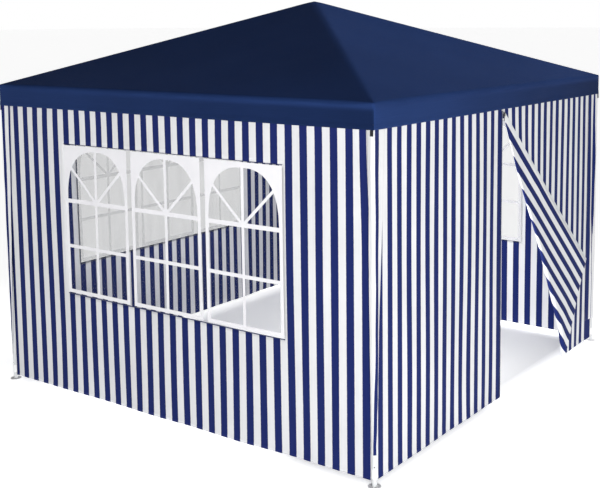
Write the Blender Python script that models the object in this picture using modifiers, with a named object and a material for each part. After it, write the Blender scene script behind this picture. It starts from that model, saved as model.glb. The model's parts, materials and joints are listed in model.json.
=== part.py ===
"""Party gazebo: a plug-together tube frame, a hipped fabric roof with a valance and four fabric walls.

Metres, +Z up. The origin is on the ground, midway between the four legs. The front wall faces -Y
and the wall with the door faces +X. Three walls have a window of three arched lights.
"""

import math

import bmesh
import bpy
from mathutils import Vector

# Driving dimensions of the frame
LEG_SPACING = 3.000  # between the axes of two neighbouring legs
LEG_RADIUS = 0.014
RAIL_RADIUS = 0.0125  # eave rails and rafters
TUBE_WALL = 0.0012
FOOT_RADIUS = 0.037
FOOT_THICKNESS = 0.005
ARM_BODY = 0.050  # the stretch of a joint's arm that shows between two tubes
SPIGOT_LENGTH = 0.040  # the stretch of a joint or foot inside a tube

# Driving dimensions of the roof
PEAK_HEIGHT = 2.600
EAVE_HEIGHT = 2.045  # the fold between the roof and its valance
CANOPY_OVERHANG = 0.020  # outside the leg axes
VALANCE_BOTTOM = 1.905
CLOTH = 0.002  # thickness of the roof, the valance and the walls

# Driving dimensions of the walls
WALL_BOTTOM = 0.030
SLEEVE_RADIUS = 0.0165  # the wall's side flap, wrapped round a leg
SLEEVE_BOTTOM = 0.155
FILM = 0.0008  # thickness of the clear film and of the white frame on it
WINDOW_WIDTH = 1.800
WINDOW_BOTTOM = 0.700
WINDOW_TOP = 1.680
FRAME_COUNT = 3
FRAME_WIDTH = 0.575
FRAME_EDGE = 0.006  # the strip above and below the windows that joins their frames
LIGHT_WIDTH = 0.520
LIGHT_BOTTOM = 0.730
ARCH_SPRING = 1.314
ARCH_TOP = 1.643
ARCH_FULLNESS = 2.5  # 2 gives an ellipse, and more gives squarer shoulders

# Driving dimensions of the door: its far half is folded back from the bottom
ZIP_TOP = 1.870
FOLD_FOOT = 0.950  # from the zip to the foot of the fold
FLAP_TIP = (1.455, 0.660)  # the folded corner: from the zip, and above the ground

GAP = 0.0003  # between pieces that touch
TUBE_SIDES = 24
ARCH_STEPS = 14

# Worked out from the driving dimensions
HALF = LEG_SPACING / 2
ROOF_HALF = HALF + CANOPY_OVERHANG
ROOF_SLOPE = (PEAK_HEIGHT - EAVE_HEIGHT) / ROOF_HALF
ROOF_COS = 1 / math.hypot(1, ROOF_SLOPE)
ROOF_DEPTH = CLOTH / ROOF_COS  # the roof's thickness, measured straight down
PEAK_AXIS = PEAK_HEIGHT - ROOF_DEPTH - (RAIL_RADIUS + GAP) / ROOF_COS
RAIL_HEIGHT = PEAK_AXIS - ROOF_SLOPE * HALF
WALL_TOP = RAIL_HEIGHT - RAIL_RADIUS - GAP
WALL_HALF = HALF - SLEEVE_RADIUS - GAP
LEG_TOP = RAIL_HEIGHT - ARM_BODY

SIDES = {"front": 0, "right": 90, "rear": 180, "left": 270}
CORNERS = {"front_right": (1, -1), "rear_right": (1, 1), "rear_left": (-1, 1), "front_left": (-1, -1)}
UP = Vector((0, 0, 1))

COLOURS = {
    "white_steel": ((0.83, 0.84, 0.85), 0.35, 0.2),
    "white_plastic": ((0.80, 0.80, 0.79), 0.45, 0.0),
    "navy_cloth": ((0.022, 0.040, 0.125), 0.75, 0.0),
    "striped_cloth": ((0.40, 0.43, 0.62), 0.70, 0.0),
    "white_film": ((0.86, 0.85, 0.87), 0.40, 0.0),
    "clear_film": ((0.80, 0.84, 0.86), 0.15, 0.0),
}


def clear_scene():
    for obj in list(bpy.data.objects):
        bpy.data.objects.remove(obj, do_unlink=True)


def make_collection(name):
    collection = bpy.data.collections.new(name)
    bpy.context.scene.collection.children.link(collection)
    return collection


def make_material(name):
    colour, roughness, metallic = COLOURS[name]
    material = bpy.data.materials.new(name)
    material.use_nodes = True
    shader = material.node_tree.nodes["Principled BSDF"]
    shader.inputs["Base Color"].default_value = (*colour, 1)
    shader.inputs["Roughness"].default_value = roughness
    shader.inputs["Metallic"].default_value = metallic
    return material


def add_object(name, data, collection, material):
    data.materials.append(material)
    obj = bpy.data.objects.new(name, data)
    collection.objects.link(obj)
    return obj


def hide_helper(obj):
    obj.hide_render = True
    obj.display_type = "WIRE"


def point_along(obj, start, direction):
    """Stands the object's own Z axis along a direction, with its origin at start."""
    obj.location = start
    obj.rotation_euler = direction.to_track_quat("Z", "Y").to_euler()


def turned(name, profile, collection, material):
    """A profile of (radius, height) points turned round Z, from the top of its outer side downwards."""
    mesh = bpy.data.meshes.new(name)
    form = bmesh.new()
    ring = [form.verts.new((radius, 0, height)) for radius, height in profile]
    closed = profile[0][0] > 0
    for first, second in zip(ring, ring[1:] + ring[:1] if closed else ring[1:]):
        form.edges.new((first, second))
    form.to_mesh(mesh)
    form.free()
    obj = add_object(name, mesh, collection, material)
    screw = obj.modifiers.new("Turn", "SCREW")
    screw.steps = TUBE_SIDES
    screw.render_steps = TUBE_SIDES
    screw.use_merge_vertices = True
    screw.merge_threshold = 0.00001
    return obj


def tube(name, start, end, radius, wall, collection, material):
    """A hollow tube between two points."""
    length = (end - start).length
    bore = radius - wall
    profile = [(radius, length), (radius, 0), (bore, 0), (bore, length)]
    obj = turned(name, profile, collection, material)
    point_along(obj, start, end - start)
    return obj


def arm(name, start, direction, radius, collection, material):
    """One arm of a joint: a round body as wide as the tube, and a spigot that plugs into it."""
    spigot = radius - TUBE_WALL - GAP
    reach = ARM_BODY - GAP
    tip = ARM_BODY + SPIGOT_LENGTH
    profile = [(0, tip), (spigot, tip), (spigot, reach), (radius, reach), (radius, 0), (0, 0)]
    obj = turned(name, profile, collection, material)
    point_along(obj, start, direction)
    return obj


def joint(name, centre, arms, collection, helpers, material):
    """Arms that leave one point, fused into one piece: a list of (direction, radius)."""
    direction, radius = arms[0]
    body = arm(name, centre, direction, radius, collection, material)
    for index, (direction, radius) in enumerate(arms[1:]):
        other = arm(f"{name}_arm_{index}", centre, direction, radius, helpers, material)
        hide_helper(other)
        fuse = body.modifiers.new(f"Arm {index}", "BOOLEAN")
        fuse.operation = "UNION"
        fuse.solver = "EXACT"
        fuse.object = other
    return body


def sheet(name, outlines, thickness, offset, side, collection, material):
    """A flat sheet standing on one side of the gazebo: outlines of (along, height) points, holes after the first.

    The offset is from the origin to the middle of the sheet's thickness.
    """
    curve = bpy.data.curves.new(name, "CURVE")
    curve.dimensions = "2D"
    curve.fill_mode = "BOTH"
    curve.extrude = thickness / 2
    for outline in outlines:
        spline = curve.splines.new("POLY")
        spline.points.add(len(outline) - 1)
        for point, (along, height) in zip(spline.points, outline):
            point.co = (along, height, 0, 1)
        spline.use_cyclic_u = True
    obj = add_object(name, curve, collection, material)
    turn = math.radians(SIDES[side])
    obj.location = (offset * math.sin(turn), -offset * math.cos(turn), 0)
    obj.rotation_euler = (math.pi / 2, 0, turn)
    return obj


def rectangle(left, right, bottom, top):
    return [(left, bottom), (right, bottom), (right, top), (left, top)]


def arched_light(centre):
    """The outline of one clear light: straight jambs under a full arch."""
    half = LIGHT_WIDTH / 2
    rise = ARCH_TOP - ARCH_SPRING
    outline = [(centre - half, LIGHT_BOTTOM), (centre + half, LIGHT_BOTTOM)]
    for step in range(ARCH_STEPS + 1):
        angle = math.pi * step / ARCH_STEPS
        across = math.copysign(abs(math.cos(angle)) ** (2 / ARCH_FULLNESS), math.cos(angle))
        up = math.sin(angle) ** (2 / ARCH_FULLNESS)
        outline.append((centre + half * across, ARCH_SPRING + rise * up))
    return outline


def add_foot(corner, place, parts, material):
    """A round plate with a rounded rim and a spigot inside the leg."""
    spigot = LEG_RADIUS - TUBE_WALL - GAP
    top = FOOT_THICKNESS
    rim = FOOT_THICKNESS / 3
    profile = [
        (0, top + SPIGOT_LENGTH),
        (spigot, top + SPIGOT_LENGTH),
        (spigot, top),
        (FOOT_RADIUS - rim, top),
        (FOOT_RADIUS, top - rim),
        (FOOT_RADIUS, 0),
        (0, 0),
    ]
    foot = turned(f"foot_{corner}", profile, parts, material)
    foot.location = place


def add_leg(corner, place, parts, materials):
    """The leg's tube and the wall's side flap wrapped round it."""
    foot_top = place + UP * (FOOT_THICKNESS + GAP)
    tube(f"leg_{corner}", foot_top, place + UP * LEG_TOP, LEG_RADIUS, TUBE_WALL, parts, materials["white_steel"])
    low = place + UP * SLEEVE_BOTTOM
    high = place + UP * LEG_TOP
    wall = SLEEVE_RADIUS - LEG_RADIUS - GAP
    tube(f"leg_sleeve_{corner}", low, high, SLEEVE_RADIUS, wall, parts, materials["striped_cloth"])


def add_corner(corner, signs, parts, helpers, materials):
    """A foot, a leg, its corner joint and the rafter from that joint to the peak."""
    across, along = signs
    place = Vector((across * HALF, along * HALF, 0))
    centre = place + UP * RAIL_HEIGHT
    peak = UP * PEAK_AXIS
    uphill = (peak - centre).normalized()
    add_foot(corner, place, parts, materials["white_plastic"])
    add_leg(corner, place, parts, materials)
    arms = [
        (Vector((-across, 0, 0)), RAIL_RADIUS),
        (Vector((0, -along, 0)), RAIL_RADIUS),
        (uphill, RAIL_RADIUS),
        (-UP, LEG_RADIUS),
    ]
    joint(f"corner_joint_{corner}", centre, arms, parts, helpers, materials["white_steel"])
    low = centre + uphill * ARM_BODY
    high = peak - uphill * ARM_BODY
    tube(f"rafter_{corner}", low, high, RAIL_RADIUS, TUBE_WALL, parts, materials["white_steel"])


def add_peak_joint(parts, helpers, materials):
    peak = UP * PEAK_AXIS
    arms = []
    for across, along in CORNERS.values():
        corner = Vector((across * HALF, along * HALF, RAIL_HEIGHT))
        arms.append(((corner - peak).normalized(), RAIL_RADIUS))
    joint("peak_joint", peak, arms, parts, helpers, materials["white_steel"])


def add_eave_rail(side, parts, material):
    turn = math.radians(SIDES[side])
    out = Vector((math.sin(turn), -math.cos(turn), 0))
    along = Vector((math.cos(turn), math.sin(turn), 0))
    middle = out * HALF + UP * RAIL_HEIGHT
    reach = along * (HALF - ARM_BODY)
    tube(f"eave_rail_{side}", middle - reach, middle + reach, RAIL_RADIUS, TUBE_WALL, parts, material)


def add_roof_panel(side, parts, material):
    """One of the four triangles of the roof, cut upright along the hips."""
    inset = GAP / math.sqrt(2)
    plan = [(0, inset), (ROOF_HALF - inset, ROOF_HALF), (inset - ROOF_HALF, ROOF_HALF)]
    mesh = bpy.data.meshes.new(f"roof_panel_{side}")
    form = bmesh.new()
    corners = [form.verts.new((x, -out, PEAK_HEIGHT - ROOF_SLOPE * out)) for x, out in plan]
    top = form.faces.new(corners)
    lower = bmesh.ops.extrude_face_region(form, geom=[top], use_keep_orig=True)["geom"]
    moved = [item for item in lower if isinstance(item, bmesh.types.BMVert)]
    bmesh.ops.translate(form, verts=moved, vec=(0, 0, -ROOF_DEPTH))
    bmesh.ops.recalc_face_normals(form, faces=form.faces)
    form.to_mesh(mesh)
    form.free()
    panel = add_object(mesh.name, mesh, parts, material)
    panel.rotation_euler.z = math.radians(SIDES[side])


def add_valance(side, parts, material):
    """An upright strip under the edge of the roof. Each strip runs past the end of the next one."""
    top = EAVE_HEIGHT - ROOF_DEPTH - GAP
    left = -ROOF_HALF
    right = ROOF_HALF - CLOTH - GAP
    outline = rectangle(left, right, VALANCE_BOTTOM, top)
    sheet(f"valance_{side}", [outline], CLOTH, ROOF_HALF - CLOTH / 2, side, parts, material)


def add_window_wall(side, parts, materials):
    """A wall with one wide window: clear film, and on its outside the white frames of three arched lights."""
    half = WINDOW_WIDTH / 2
    wall = rectangle(-WALL_HALF, WALL_HALF, WALL_BOTTOM, WALL_TOP)
    opening = rectangle(-half, half, WINDOW_BOTTOM, WINDOW_TOP)
    sheet(f"wall_{side}", [wall, opening], CLOTH, HALF, side, parts, materials["striped_cloth"])

    pane = rectangle(GAP - half, half - GAP, WINDOW_BOTTOM + GAP, WINDOW_TOP - GAP)
    outer_face = HALF + CLOTH / 2
    film_offset = outer_face - FILM - GAP - FILM / 2
    sheet(f"window_film_{side}", [pane], FILM, film_offset, side, parts, materials["clear_film"])

    pitch = (WINDOW_WIDTH - FRAME_WIDTH) / (FRAME_COUNT - 1)
    centres = [pitch * (index - (FRAME_COUNT - 1) / 2) for index in range(FRAME_COUNT)]
    low = WINDOW_BOTTOM + FRAME_EDGE
    high = WINDOW_TOP - FRAME_EDGE
    outlines = [pane] + [arched_light(centre) for centre in centres]
    for before, after in zip(centres, centres[1:]):
        outlines.append(rectangle(before + FRAME_WIDTH / 2, after - FRAME_WIDTH / 2, low, high))
    frame_offset = outer_face - FILM / 2
    sheet(f"window_frame_{side}", outlines, FILM, frame_offset, side, parts, materials["white_film"])


def add_door_wall(parts, material):
    """A wall parted by a zip down its middle, with the lower corner of its far half folded back outside."""
    side = "right"
    edge = GAP / 2
    near = rectangle(-WALL_HALF, -edge, WALL_BOTTOM, WALL_TOP)
    sheet("door_wall_near", [near], CLOTH, HALF, side, parts, material)
    far = [(edge, ZIP_TOP), (FOLD_FOOT, WALL_BOTTOM), (WALL_HALF, WALL_BOTTOM), (WALL_HALF, WALL_TOP), (edge, WALL_TOP)]
    sheet("door_wall_far", [far], CLOTH, HALF, side, parts, material)
    flap = [(edge, ZIP_TOP), (FOLD_FOOT, WALL_BOTTOM), FLAP_TIP]
    sheet("door_flap", [flap], CLOTH, HALF + CLOTH + GAP, side, parts, material)


def build():
    clear_scene()
    parts = make_collection("party_gazebo")
    helpers = make_collection("party_gazebo_helpers")
    materials = {name: make_material(name) for name in COLOURS}
    for corner, signs in CORNERS.items():
        add_corner(corner, signs, parts, helpers, materials)
    add_peak_joint(parts, helpers, materials)
    for side in SIDES:
        add_eave_rail(side, parts, materials["white_steel"])
        add_roof_panel(side, parts, materials["navy_cloth"])
        add_valance(side, parts, materials["navy_cloth"])
    for side in ("front", "rear", "left"):
        add_window_wall(side, parts, materials)
    add_door_wall(parts, materials["striped_cloth"])


build()
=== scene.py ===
"""Looks of the party gazebo: its cloth, window film and bars, zip, straps, finishes, light and camera.

Metres, +Z up. A wall is worked out flat: metres along it, metres up, and metres out from the legs' plane.
It is then turned to its side. Side 0 faces -Y, side 1 faces +X and has the door, side 2 faces +Y.
"""

import json
import math

import bmesh
import bpy
import numpy as np
from mathutils import Matrix, Vector

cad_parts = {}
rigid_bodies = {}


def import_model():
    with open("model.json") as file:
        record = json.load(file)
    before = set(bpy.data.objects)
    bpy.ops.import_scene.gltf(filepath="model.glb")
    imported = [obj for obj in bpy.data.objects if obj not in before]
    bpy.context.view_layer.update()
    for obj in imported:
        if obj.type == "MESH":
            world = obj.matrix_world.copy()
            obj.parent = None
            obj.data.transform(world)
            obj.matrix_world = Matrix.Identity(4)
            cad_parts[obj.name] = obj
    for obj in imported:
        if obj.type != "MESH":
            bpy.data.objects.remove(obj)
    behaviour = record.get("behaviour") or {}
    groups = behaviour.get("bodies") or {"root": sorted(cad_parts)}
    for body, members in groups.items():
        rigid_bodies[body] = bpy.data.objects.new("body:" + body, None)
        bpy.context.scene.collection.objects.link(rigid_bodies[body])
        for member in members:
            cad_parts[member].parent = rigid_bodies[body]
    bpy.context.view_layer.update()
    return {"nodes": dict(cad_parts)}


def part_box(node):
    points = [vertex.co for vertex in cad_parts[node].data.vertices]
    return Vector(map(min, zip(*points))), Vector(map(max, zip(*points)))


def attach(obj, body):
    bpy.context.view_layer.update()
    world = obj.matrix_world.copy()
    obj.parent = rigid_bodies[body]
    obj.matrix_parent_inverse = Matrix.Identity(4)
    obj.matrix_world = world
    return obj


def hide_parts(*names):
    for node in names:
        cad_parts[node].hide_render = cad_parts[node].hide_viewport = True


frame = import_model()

# Sizes read from the frame
LEG_LOW, LEG_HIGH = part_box("leg_front_right")
HALF = (LEG_LOW.x + LEG_HIGH.x) / 2
LEG_RADIUS = (LEG_HIGH.x - LEG_LOW.x) / 2
WALL_LOW, WALL_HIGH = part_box("wall_front")
WALL_HALF = WALL_HIGH.x
WALL_BOTTOM = WALL_LOW.z
WALL_TOP = WALL_HIGH.z
FILM_LOW, FILM_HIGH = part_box("window_film_front")
WINDOW_HALF = round(FILM_HIGH.x, 2)
WINDOW_BOTTOM = round(FILM_LOW.z, 2)
WINDOW_TOP = round(FILM_HIGH.z, 2)
ROOF_LOW, ROOF_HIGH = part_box("roof_panel_front")
ROOF_HALF = ROOF_HIGH.x
PEAK_HEIGHT = ROOF_HIGH.z
EAVE_HEIGHT = 2.045  # where the roof's slope would meet the valance
VALANCE_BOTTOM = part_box("valance_front")[0].z
ZIP_TOP = VALANCE_BOTTOM - 0.015
WRAP_SHORT = 0.025  # how much sooner than its solid the cloth round a leg ends
WRAP_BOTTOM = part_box("leg_sleeve_front_right")[0].z + WRAP_SHORT
SIDES = ("front", "right", "rear", "left")

# Cloth
CLOTH = 0.0009  # thickness of roof and walls
PERIOD = 0.0984  # one blue stripe and one white one, as woven
HEM = 0.022
COLUMN_STEP = 0.024  # of the cloth's grid, along a wall
ROW_STEP = 0.028  # and up it
# Where a blue stripe starts along each wall, and the width of a pair of stripes there. Both are fitted to
# the photograph wall by wall, so the widths differ by a few percent from the woven one.
STRIPES = {
    "front": (-1.4030, 0.10103),
    "rear": (-0.7826, 0.10360),
    "left": (0.9572, 0.09897),
    "near": (-1.2709, 0.09733),
    "far": (0.3829, 0.09817),
}

# Windows
FRAME_COUNT = 3
FRAME_PITCH = 0.6125
FRAME_WIDTH = 0.575
FRAME_EDGE = 0.006
LIGHT_WIDTH = 0.526
LIGHT_BOTTOM = 0.730
ARCH_SPRING = 1.314
ARCH_TOP = 1.643
ARCH_FULLNESS = 2.5
ARCH_STEPS = 18
LOW_BAR = 1.017  # height of the cross bar's middle
BAR_WIDTH = 0.022
SPRING_BAR_WIDTH = 0.026
MULLION_WIDTH = 0.021
RAY_WIDTH = 0.018  # the two slanting bars of the fan
RAY_ANGLE = 43.5
FILM = 0.0006
FILM_LAP = 0.014  # how far the film is sewn behind the cloth

# Door
ZIP_PLACE = -0.042
ZIP_TAPE = 0.015
FOLD_FOOT = 0.945
FOLD_RADIUS = 0.010  # radius of the fold's curl, for each metre from its top
FOLD_RETURN = 0.08  # radians by which the folded cloth turns back to the wall
FOLD_BOW = 0.052  # how far the fold's line is bowed from straight
# The folded corner, as an angle at the zip's top. The rest of the slack is gathered behind it.
FLAP_ANGLE = 0.41
FLAP_CLEAR = 0.004  # between the folded cloth and the wall behind it
FOLD_HOLD = 0.25  # how far from the fold's line the wall's cloth hangs freely
GATHER_FOOT = 0.12  # how far the gathered slack reaches past the fold's line, at the foot
GATHER_MORE = 0.30  # and how much further at the top
WIDE_END = 1.39  # from here on the last stripe of the door wall is drawn wide
WIDE_SLOWING = 0.72

# Layers of a wall, measured out from the middle of its cloth
FILM_BACK = 0.0012
PRINT_BACK = 0.0002
BINDING_OUT = 0.0011
TAPE_OUT = 0.0013


def collection(name):
    made = bpy.data.collections.new(name)
    bpy.context.scene.collection.children.link(made)
    return made


SOFT = collection("cloth_and_film")
TRIM = collection("trim")
STAGE = collection("stage")


# Shapes


def turned(points, side):
    """Points worked out flat as (along, -out, up), turned to their side of the gazebo."""
    x, y, z = np.asarray(points, float).T
    for _ in range(side % 4):
        x, y = -y, x
    return np.stack([x, y, z], axis=1)


def smooth_step(x):
    x = np.clip(x, 0, 1)
    return x * x * (3 - 2 * x)


def ripples(u, v, seed, across, up, waves=9):
    """Uneven smooth waves, mostly between -1 and 1. across and up are their usual lengths."""
    rng = np.random.default_rng(seed)
    total = np.zeros(np.broadcast(u, v).shape)
    for _ in range(waves):
        ku = 2 * math.pi / across * rng.uniform(0.5, 1.6)
        kv = 2 * math.pi / up * rng.uniform(-1.3, 1.3)
        total = total + rng.uniform(0.5, 1.0) * np.sin(ku * u + kv * v + rng.uniform(0, 2 * math.pi))
    return total / math.sqrt(waves)


def spread(breaks, step):
    """Values from the first break to the last, with each break among them, about a step apart."""
    values = [breaks[0]]
    for low, high in zip(breaks, breaks[1:]):
        count = max(1, round((high - low) / step))
        values += [low + (high - low) * i / count for i in range(1, count + 1)]
    return np.array(values)


def cloth_uvs(wall, u, v):
    """Flat coordinates of a wall's cloth, with a blue stripe starting at 0."""
    start, pair = STRIPES[wall]
    return np.stack([(np.ravel(u) - start) * PERIOD / pair, np.ravel(v)], axis=1)


def new_piece(name, points, faces, material, uvs=None, home=None, smooth=True):
    """A mesh piece. uvs holds one pair for each point, in metres of flat cloth."""
    mesh = bpy.data.meshes.new(name)
    mesh.from_pydata([tuple(p) for p in points], [], [tuple(int(i) for i in f) for f in faces])
    if uvs is not None:
        layer = mesh.uv_layers.new(name="cloth")
        index = np.zeros(len(mesh.loops), dtype=np.int32)
        mesh.loops.foreach_get("vertex_index", index)
        layer.data.foreach_set("uv", np.asarray(uvs, np.float32)[index].ravel())
    mesh.validate()
    if smooth:
        mesh.shade_smooth()
    mesh.materials.append(material)
    piece = bpy.data.objects.new(name, mesh)
    (home or TRIM).objects.link(piece)
    return piece


def thicken(piece, thickness, offset=0.0):
    modifier = piece.modifiers.new("thickness", "SOLIDIFY")
    modifier.thickness = thickness
    modifier.offset = offset
    modifier.use_even_offset = False
    return piece


def grid_faces(rows, columns, keep=None):
    """Faces of a grid whose points run along its columns first. keep says which cells stay."""
    faces = []
    for j in range(rows - 1):
        for i in range(columns - 1):
            if keep is None or keep[j, i]:
                a = j * columns + i
                faces.append((a, a + 1, a + columns + 1, a + columns))
    return faces


def without_loose(piece):
    bm = bmesh.new()
    bm.from_mesh(piece.data)
    bmesh.ops.delete(bm, geom=[v for v in bm.verts if not v.link_faces], context="VERTS")
    bm.to_mesh(piece.data)
    bm.free()
    return piece


# Materials


def mix_socket(node, name, kind):
    return next(s for s in node.inputs if s.name == name and s.type == kind)


class Shader:
    """A Principled material, with short calls for the nodes that feed it."""

    def __init__(self, name, **values):
        self.material = bpy.data.materials.new(name)
        self.material.use_nodes = True
        self.tree = self.material.node_tree
        self.main = next(n for n in self.tree.nodes if n.type == "BSDF_PRINCIPLED")
        for key, value in values.items():
            self.main.inputs[key.replace("_", " ")].default_value = value

    def node(self, kind, inputs=None, **settings):
        made = self.tree.nodes.new("ShaderNode" + kind)
        for key, value in settings.items():
            setattr(made, key, value)
        for key, value in (inputs or {}).items():
            self.feed(made.inputs[key], value)
        return made

    def feed(self, socket, value):
        if isinstance(value, bpy.types.NodeSocket):
            self.tree.links.new(value, socket)
        else:
            socket.default_value = value

    def math(self, operation, *values, clamp=False):
        made = self.node("Math", operation=operation, use_clamp=clamp)
        for socket, value in zip(made.inputs, values):
            self.feed(socket, value)
        return made.outputs[0]

    def ranged(self, value, low, high, new_low, new_high):
        names = {"Value": value, "From Min": low, "From Max": high, "To Min": new_low, "To Max": new_high}
        return self.node("MapRange", names).outputs["Result"]

    def scaled(self, vector, scale):
        return self.node("Mapping", {"Vector": vector, "Scale": scale}).outputs["Vector"]

    def noise(self, vector, scale, detail=2.0):
        names = {"Vector": vector, "Scale": scale, "Detail": detail}
        return self.node("TexNoise", names).outputs["Fac"]

    def mix(self, share, first, second, blend="MIX"):
        """A colour between two, each a socket or three numbers."""
        made = self.node("Mix", data_type="RGBA", blend_type=blend)
        self.feed(mix_socket(made, "Factor", "VALUE"), share)
        for name, value in (("A", first), ("B", second)):
            target = mix_socket(made, name, "RGBA")
            self.feed(target, value if isinstance(value, bpy.types.NodeSocket) else (*value, 1))
        return next(s for s in made.outputs if s.type == "RGBA")

    def toned(self, colour, tone):
        """A colour made lighter or darker."""
        grey = self.node("CombineColor", {0: tone, 1: tone, 2: tone}).outputs[0]
        return self.mix(1.0, colour, grey, "MULTIPLY")

    def colour(self, value):
        self.feed(self.main.inputs["Base Color"], value)

    def bump(self, height, distance, strength=1.0):
        made = self.node("Bump", {"Height": height, "Distance": distance, "Strength": strength})
        self.feed(self.main.inputs["Normal"], made.outputs["Normal"])

    def place(self, kind="uv"):
        if kind == "uv":
            return self.node("UVMap", uv_map="cloth").outputs["UV"]
        return self.node("TexCoord").outputs["Object"]


THREAD = 0.0025  # width of a woven tape


def weave_height(shader, place):
    """The height of a plain weave of flat tapes."""
    parts = shader.node("SeparateXYZ", {"Vector": place}).outputs
    waves = [shader.math("SINE", shader.math("MULTIPLY", parts[i], math.pi / THREAD)) for i in (0, 1)]
    return shader.math("MULTIPLY", *waves)


STRIPE_BLUR = 0.012  # of a stripe's edge, as a share of a pair of stripes


def striped_cloth():
    """Woven tape cloth in blue and white stripes. The first blue stripe starts at u = 0."""
    s = Shader("striped_cloth", Roughness=0.62, Specular_IOR_Level=0.03)
    uv = s.place()
    u = s.node("SeparateXYZ", {"Vector": uv}).outputs[0]
    edge = s.math("MULTIPLY", s.math("SUBTRACT", s.noise(uv, 60.0), 0.5), 0.002)
    turn = s.math("FRACT", s.math("ADD", s.math("DIVIDE", s.math("ADD", u, edge), PERIOD), 0.25))
    from_blue = s.math("ABSOLUTE", s.math("SUBTRACT", turn, 0.5))
    white = s.ranged(from_blue, 0.25 - STRIPE_BLUR, 0.25 + STRIPE_BLUR, 0.0, 1.0)
    streaks = s.noise(s.scaled(uv, (420.0, 5.0, 1.0)), 1.0, 3.0)
    patches = s.noise(uv, 2.2, 4.0)
    blue = s.mix(streaks, (0.007, 0.013, 0.084), (0.017, 0.027, 0.132))
    pale = s.mix(streaks, (0.63, 0.635, 0.65), (0.70, 0.705, 0.715))
    cloth = s.mix(white, blue, pale)
    tone = s.ranged(patches, 0.3, 0.7, 0.94, 1.03)
    s.colour(s.toned(cloth, tone))
    s.bump(s.math("ADD", weave_height(s, uv), s.math("MULTIPLY", patches, 3.0)), 0.0003, 0.6)
    return s.material


def navy_cloth():
    s = Shader("navy_cloth", Roughness=0.58, Specular_IOR_Level=0.02)
    uv = s.place()
    streaks = s.noise(s.scaled(uv, (5.0, 300.0, 1.0)), 1.0, 3.0)
    patches = s.noise(uv, 1.4, 4.0)
    thread = s.mix(streaks, (0.0105, 0.0265, 0.095), (0.017, 0.039, 0.132))
    # The shade attribute is painted shade on the valance, lower towards one end of each side. Elsewhere it is
    # 1.
    shade = s.node("Attribute", attribute_name="shade").outputs["Fac"]
    tone = s.math("MULTIPLY", s.ranged(patches, 0.3, 0.7, 0.92, 1.06), shade)
    s.colour(s.toned(thread, tone))
    s.bump(s.math("ADD", weave_height(s, uv), s.math("MULTIPLY", patches, 4.0)), 0.0003, 0.6)
    return s.material


def clear_film(name, low, high):
    """Soft clear film. low and high are the share that its haze hides."""
    s = Shader(name, Roughness=0.12, Specular_IOR_Level=0.5)
    uv = s.place()
    haze = s.noise(s.scaled(uv, (9.0, 2.0, 1.0)), 1.0, 4.0)
    s.colour(s.mix(haze, (0.10, 0.11, 0.12), (0.16, 0.17, 0.19)))
    s.feed(s.main.inputs["Alpha"], s.ranged(haze, 0.3, 0.7, low, high))
    s.bump(s.noise(s.scaled(uv, (14.0, 4.0, 1.0)), 1.0, 2.0), 0.004, 0.5)
    return s.material


def white_print(name, cover):
    """The white print of the window frames and bars. cover is the share of the light that it stops."""
    s = Shader(name, Roughness=0.38, Alpha=cover)
    uv = s.place()
    patches = s.noise(uv, 7.0, 3.0)
    s.colour(s.mix(patches, (0.70, 0.695, 0.725), (0.78, 0.775, 0.80)))
    s.bump(s.noise(uv, 40.0, 3.0), 0.0006, 0.5)
    return s.material


def moulded(name, low, high, roughness, scale, depth):
    """A rigid finish whose colour and gloss vary a little, such as powder coat or moulded plastic."""
    s = Shader(name)
    place = s.place("object")
    grain = s.noise(place, scale, 3.0)
    wear = s.noise(place, 9.0, 4.0)
    s.colour(s.mix(wear, low, high))
    s.feed(s.main.inputs["Roughness"], s.ranged(wear, 0.3, 0.7, roughness * 0.85, roughness * 1.2))
    s.bump(grain, depth, 0.5)
    return s.material


def webbing():
    s = Shader("webbing", Roughness=0.7)
    place = s.place("object")
    ribs = s.node("TexWave", {"Vector": place, "Scale": 260.0}, bands_direction="Z").outputs["Fac"]
    s.colour(s.mix(ribs, (0.006, 0.006, 0.009), (0.018, 0.018, 0.024)))
    s.bump(ribs, 0.0004, 0.8)
    return s.material


STRIPED = striped_cloth()
NAVY = navy_cloth()
# The far windows look faint through the front one in the photograph, so their film hides more and their
# print stops less light than the front window's.
CLEAR = {
    "front": clear_film("clear_film", 0.02, 0.04),
    "rear": clear_film("clear_film_rear", 0.04, 0.07),
    "left": clear_film("clear_film_left", 0.16, 0.21),
}
PRINT = {
    "front": white_print("white_print", 1.0),
    "rear": white_print("white_print_rear", 0.5),
    "left": white_print("white_print_left", 0.15),
}
STEEL = moulded("white_powder_coat", (0.60, 0.61, 0.625), (0.68, 0.69, 0.70), 0.40, 420.0, 0.0002)
PLASTIC = moulded("white_moulded_plastic", (0.78, 0.78, 0.785), (0.86, 0.86, 0.865), 0.50, 160.0, 0.0003)
# A near-black finish. On the zip's slider and pull it is their own colour and also painted shade of the gap at
# the zip's top. On a leg it is a disc of painted shade for the inside of a hole.
DARK_AND_SHADE = moulded("dark_finish_and_shade", (0.02, 0.02, 0.022), (0.05, 0.05, 0.052), 0.5, 200.0, 0.0002)
TAPE = moulded("zip_tape", (0.012, 0.018, 0.075), (0.020, 0.030, 0.105), 0.7, 900.0, 0.0004)
TEETH = moulded("zip_teeth", (0.55, 0.56, 0.58), (0.70, 0.71, 0.73), 0.4, 500.0, 0.0002)
WEBBING = webbing()


# Canopy

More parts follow.
